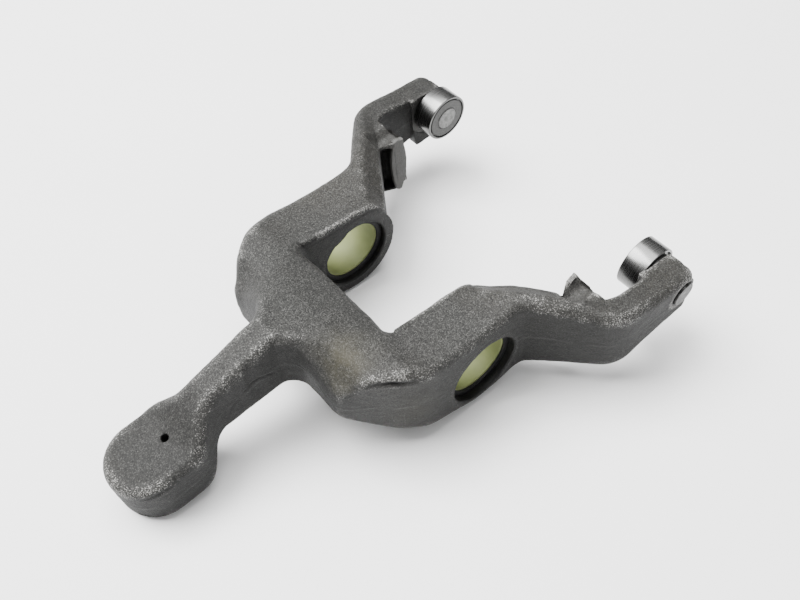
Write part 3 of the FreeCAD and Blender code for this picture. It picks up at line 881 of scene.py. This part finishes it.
    # a copy smoothed over a few millimetres tells ridges from flats
    soft = v.copy()
    mean = float(np.mean(np.linalg.norm(v[e[:, 0]] - v[e[:, 1]], axis=1))) / MM
    rounds = int(min(60, max(8, 27.4 / mean ** 2)))
    print("edge", mean, "rounds", rounds)
    for _ in range(rounds):
        soft = np.stack([around(soft[:, k]) for k in range(3)], -1) * 0.6 + soft * 0.4
    curv = ((v - soft) * n).sum(1) / MM
    for _ in range(8):
        curv = 0.5 * curv + 0.5 * around(curv)
    print("curv pct", np.percentile(curv, [1, 5, 50, 80, 90, 95, 99]))
    up = n[:, 2] * CO - n[:, 0] * SI
    rb = np.hypot(d[:, 0], d[:, 2])
    rp = np.hypot(d[:, 0] - ROLLER_X, d[:, 2] - ROLLER_Z)
    # the beam's rear walls and the places round the bores lie in shade and keep their scale: they get few painted
    # glints, and the rear walls get painted shade
    shade = np.zeros(len(v))
    for sgn in (-1, 1):
        dist, at = near_line(d, [(-86.5, sgn * 16.0, 54.0), (-88.0, sgn * 25.0, 47.0), (-88.5, sgn * 36.0, 38.0),
                                 (-88.0, sgn * 44.0, 33.0), (-86.0, sgn * 50.0, 32.0)])
        shade = np.maximum(shade, np.exp(-(dist / 8.0) ** 2) * profile(at, [(0, 0.4), (0.2, 1.0), (0.85, 1.0), (1, 0.4)]))
    keep = 1 - 0.9 * np.clip(shade * 1.6, 0, 1)
    keep *= 1 - 0.85 * ((rb < BOSS_R + 2.5) & (ay < 49))
    keep *= 1 - 0.85 * ((rb < BORE_R + 7.0) & (ay > 70))
    keep *= 1 - 0.85 * ((d[:, 0] > 56) & (d[:, 0] < 82) & (ay < 97) & (d[:, 2] < 22))
    pad_in = ((d[:, 0] > 103) & (ay > 103) & (ay < 113) & (d[:, 2] < 10)).astype(float)
    keep *= 1 - 0.9 * pad_in
    keep *= 1 - 0.85 * ((d[:, 0] > -62) & (d[:, 0] < -27) & (ay < 47))
    keep *= 1 - 0.6 * smoothstep(20, 32, d[:, 0]) * smoothstep(60, 75, d[:, 1])
    # painted highlight with real wear: bright grains on convex edges, more where they face up, fewer in the shaded
    # places
    attribute(me, "wear", keep * smoothstep(0.10, 0.62, curv) * (0.3 + 0.7 * smoothstep(-0.5, 0.2, up))
              * smoothstep(3.5, 7.0, np.hypot(d[:, 0] - CUP_X, d[:, 1])))
    on_tab = (d[:, 0] > 56) & (d[:, 0] < 82) & (ay > 77) & (ay < 97) & (d[:, 2] > 5)
    # painted shade on steep side walls, weaker on the guide tabs and near the shoulders
    attribute(me, "wall", smoothstep(0.62, 0.12, up) * (1 - 0.85 * on_tab)
              * (1 - 0.55 * np.exp(-((d[:, 0] + 62.0) ** 2 + (ay - 68.0) ** 2) / 420.0)))
    # painted shade: concave creases, the open pocket beside the guide tab, the beam's rear roll-over and the pad's
    # inner face by the roller are darkened
    valley = smoothstep(-0.12, -0.75, curv) * (1 - 0.75 * ((d[:, 0] > 56) & (d[:, 0] < 82) & (ay > 77) & (ay < 98) & (d[:, 2] > 14)))
    pocket = ((d[:, 0] > 55) & (d[:, 0] < 70.2) & (ay > 79.8) & (ay < 91) & (d[:, 2] < 19.5)).astype(float)
    attribute(me, "hollow", np.clip(np.maximum.reduce([valley, pocket, 0.55 * shade, 0.55 * pad_in]), 0, 1))
    # darker on the lever's pad and the arms, with painted shade on the pad's side walls and on the beam's front flank,
    # which slopes away from the light; browner on one shoulder
    tone = 0.36 * smoothstep(-124, -160, d[:, 0]) + 0.08 + 0.20 * smoothstep(15, 55, d[:, 0]) * (1 - on_tab)
    tone += 0.30 * smoothstep(-150, -172, d[:, 0]) * smoothstep(0.62, 0.12, up)
    tone += 0.15 * smoothstep(-62, -46, d[:, 0]) * smoothstep(46, 32, ay) * smoothstep(0.5, 0.8, up)
    tone += 0.10 * smoothstep(0, 35, d[:, 0]) * smoothstep(40, 60, d[:, 1])
    attribute(me, "tone", tone)
    warm = np.exp(-((d[:, 0] + 71.0) ** 2 + (d[:, 1] + 41.0) ** 2) / 170.0) * smoothstep(0.3, 0.7, up)
    warm = np.maximum(warm, 0.45 * np.exp(-((d[:, 0] + 49.0) ** 2 + (d[:, 1] + 76.0) ** 2 + (d[:, 2] - 15.0) ** 2) / 260.0))
    attribute(me, "warm", warm)
    # bore walls, painted near black as shade inside the bore and partly oily steel
    bore = ((rb < BORE_R + 1.0) & (ay > 42)).astype(float)
    face = ((rp < 21.6) & (np.abs(ay - PAD_FACE) < 0.15)).astype(float)
    tab = ((d[:, 0] > 63) & (d[:, 0] < 77.5) & (np.abs(ay - (79.6 - (d[:, 0] - 62.6) / 7.0)) < 0.7)
           & (d[:, 2] < 29)).astype(float)
    # sheared tab face, plus a little painted light on the tabs' upward faces
    attribute(me, "sheared", np.maximum(tab, 0.15 * on_tab * (up > -0.1)))
    attribute(me, "bore", bore)
    attribute(me, "machined", face)
    for p in me.polygons:
        p.use_smooth = True
    me.set_sharp_from_angle(angle=math.radians(38))
    print("forging tris", sum(len(p.vertices) - 2 for p in me.polygons))
    return ob


# ------------------------------------------------------------------- assembly
M_FORGED = forged_material()
M_RING = turned_material("ground_roller_steel", (0.122, 0.122, 0.120), 0.26)
M_PIN = grainy_material("peened_pin_steel", (0.165, 0.165, 0.162), (0.080, 0.080, 0.078), 0.42, 1.0, 420.0, 0.16)
M_WASHER = grainy_material("phosphated_washer", (0.062, 0.062, 0.060), (0.038, 0.038, 0.037), 0.5, 0.6, 900.0, 0.04)
M_SEAL = grainy_material("seal_rubber", (0.012, 0.012, 0.012), (0.006, 0.006, 0.006), 0.55, 0.0, 600.0, 0.03)
M_NEEDLE = turned_material("needle_steel", (0.74, 0.74, 0.73), 0.22)
M_BUSH = bush_material()

fork = forging()
fork.name = "forged_fork"
fork.data.materials.clear()
fork.data.materials.append(M_FORGED)
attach(fork, "fork")
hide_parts("fork_body")


def finish_piece(ob, mat, body, node_name):
    ob.data.materials.clear()
    ob.data.materials.append(mat)
    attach(ob, body)
    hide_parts(node_name)


for side, tag in ((1, "left"), (-1, "right")):
    c = 0.6
    p = ([(BUSH_BORE_R + c, BUSH_IN), (BORE_R - c, BUSH_IN), (BORE_R, BUSH_IN + c), (BORE_R, BUSH_OUT - c),
          (BORE_R - c, BUSH_OUT), (BUSH_BORE_R + c, BUSH_OUT), (BUSH_BORE_R, BUSH_OUT - c), (BUSH_BORE_R, BUSH_IN + c)])
    finish_piece(lathe("cream_bush_" + tag, p, side), M_BUSH, "fork", "pivot_bush_" + tag)
    for where, y0, y1 in (("inner", BUSH_IN - SEAL_T, BUSH_IN), ("outer", BUSH_OUT, BUSH_OUT + SEAL_T)):
        p = [(SEAL_BORE_R + 0.3, y0), (BORE_R - 0.3, y0), (BORE_R, y0 + 0.3), (BORE_R, y1 - 0.3), (BORE_R - 0.3, y1),
             (SEAL_BORE_R + 0.3, y1), (SEAL_BORE_R, y1 - 0.3), (SEAL_BORE_R, y0 + 0.3)]
        finish_piece(lathe("seal_%s_%s" % (where, tag), p, side), M_SEAL, "fork",
                     "bore_seal_%s_%s" % (where, tag))
    # roller ring with ground, rounded rims and counterbores
    e = 0.6
    p = ([(RACE_R, ROLLER_IN + COUNTERBORE_D), (COUNTERBORE_R, ROLLER_IN + COUNTERBORE_D),
          (COUNTERBORE_R, ROLLER_IN + 0.25), (COUNTERBORE_R + 0.25, ROLLER_IN)]
         + arc(ROLLER_R - e, ROLLER_IN + e, e, -90, 0) + arc(ROLLER_R - e, ROLLER_OUT - e, e, 0, 90)
         + [(COUNTERBORE_R + 0.25, ROLLER_OUT), (COUNTERBORE_R, ROLLER_OUT - 0.25),
            (COUNTERBORE_R, ROLLER_OUT - COUNTERBORE_D), (RACE_R, ROLLER_OUT - COUNTERBORE_D)])
    ring = lathe("roller_" + tag, p, side, ROLLER_X, ROLLER_Z, 220)
    q = design(coords(ring.data))
    # painted shade inside the counterbores round the washers
    attribute(ring.data, "grime", (np.hypot(q[:, 0] - ROLLER_X, q[:, 2] - ROLLER_Z) < COUNTERBORE_R + 0.05).astype(float))
    finish_piece(ring, M_RING, "roller_" + tag, "roller_ring_" + tag)
    w0, w1 = ROLLER_IN + 0.1, ROLLER_IN + COUNTERBORE_D - 0.15
    p = [(WASHER_BORE_R, w0 + 0.2), (WASHER_BORE_R + 0.2, w0), (WASHER_OD_R - 0.3, w0), (WASHER_OD_R, w0 + 0.3),
         (WASHER_OD_R, w1), (WASHER_BORE_R, w1)]
    finish_piece(lathe("end_washer_" + tag, p, side, ROLLER_X, ROLLER_Z), M_WASHER, "fork",
                 "roller_end_washer_" + tag)
    w0, w1 = ROLLER_OUT - COUNTERBORE_D + 0.15, PAD_FACE
    p = [(WASHER_BORE_R, w0), (THRUST_R - 0.2, w0), (THRUST_R, w0 + 0.2), (THRUST_R, w1 - 0.2), (THRUST_R - 0.2, w1),
         (WASHER_BORE_R, w1)]
    finish_piece(lathe("thrust_washer_" + tag, p, side, ROLLER_X, ROLLER_Z), M_WASHER, "fork",
                 "roller_thrust_washer_" + tag)
    y0, y1 = ROLLER_IN - 0.4, PIN_END
    p = ([(0.0, y0), (4.0, y0), (PIN_R - 1.3, y0 + 0.02)] + arc(PIN_R - 1.0, y0 + 1.0, 1.0, -80, 0)
         + arc(PIN_R - 1.0, y1 - 1.0, 1.0, 0, 80) + [(PIN_R - 1.3, y1 - 0.02), (4.0, y1), (0.0, y1)])
    pin = lathe("roller_pin_part_" + tag, p, side, ROLLER_X, ROLLER_Z)
    q = design(coords(pin.data))
    attribute(pin.data, "outer", (np.abs(q[:, 1]) > y1 - 1.4).astype(float))
    finish_piece(pin, M_PIN, "fork", "roller_pin_" + tag)
    n0, n1 = ROLLER_IN + COUNTERBORE_D + 0.05, ROLLER_OUT - COUNTERBORE_D - 0.05
    solids = []
    for i in range(NEEDLE_N):
        a = 2 * math.pi * i / NEEDLE_N
        x, z = ROLLER_X + NEEDLE_PITCH_R * math.cos(a), ROLLER_Z + NEEDLE_PITCH_R * math.sin(a)
        s = revolve_y([(NEEDLE_R - 0.25, n0), (NEEDLE_R, n0 + 0.25), (NEEDLE_R, n1 - 0.25), (NEEDLE_R - 0.25, n1)], x, z, 20)
        solids.append(s if side > 0 else mirror_solid(s))
    me = solid_mesh(solids, "needle_set_" + tag)
    for q in me.polygons:
        q.use_smooth = True
    me.set_sharp_from_angle(angle=math.radians(30))
    finish_piece(link("needle_set_" + tag, me), M_NEEDLE, "needles_" + tag, "roller_needles_" + tag)

# ---------------------------------------------------------------- floor, light
lo, hi = box_before
floor_z = float(lo[2])
me = mesh_from("floor", [(-6, -6, floor_z), (6, -6, floor_z), (6, 6, floor_z), (-6, 6, floor_z)], [(0, 1, 2, 3)])
floor = link("floor", me)
me.materials.append(floor_material())

world = bpy.data.worlds.new("studio")
bpy.context.scene.world = world
world.use_nodes = True
wn = world.node_tree
wn.nodes.clear()
wo = wn.nodes.new("ShaderNodeOutputWorld")
wb = wn.nodes.new("ShaderNodeBackground")
wc = wn.nodes.new("ShaderNodeTexCoord")
ws = wn.nodes.new("ShaderNodeSeparateXYZ")
wr = wn.nodes.new("ShaderNodeMapRange")
wr.interpolation_type = "SMOOTHSTEP"
wn.links.new(wc.outputs["Generated"], ws.inputs[0])
wn.links.new(ws.outputs[2], wr.inputs["Value"])
for k, x in zip(("From Min", "From Max", "To Min", "To Max"), (0.05, 0.75, WORLD_LOW, WORLD_HIGH)):
    wr.inputs[k].default_value = x
wb.inputs["Color"].default_value = (1.0, 1.0, 1.0, 1.0)
wn.links.new(wr.outputs["Result"], wb.inputs["Strength"])
wn.links.new(wb.outputs[0], wo.inputs[0])


def area(name, loc, target, size, power, size_y=None):
    l = bpy.data.lights.new(name, "AREA")
    l.shape = "RECTANGLE"
    l.size = size
    l.size_y = size_y or size
    l.energy = power
    ob = bpy.data.objects.new(name, l)
    bpy.context.scene.collection.objects.link(ob)
    ob.location = loc
    d = Vector(target) - Vector(loc)
    ob.rotation_euler = d.to_track_quat("-Z", "Y").to_euler()
    return ob


area("key", (-1.35, 1.45, 2.9), (0, 0, 0), 2.2, 400.0)
area("top", (0.15, 0.55, 2.4), (0, 0, 0), 1.9, 100.0)

cam = bpy.data.cameras.new("camera")
cam.sensor_width = 36.0
cam.lens = 40.5262
cam.clip_start = 0.01
cob = bpy.data.objects.new("camera", cam)
bpy.context.scene.collection.objects.link(cob)
cob.matrix_world = Matrix(((0.74903221, 0.49150274, -0.44426997, -0.25902096),
                           (-0.66098425, 0.60020458, -0.45039348, -0.26376503),
                           (0.04528324, 0.63101467, 0.77444813, 0.44491585),
                           (0, 0, 0, 1)))
bpy.context.scene.camera = cob
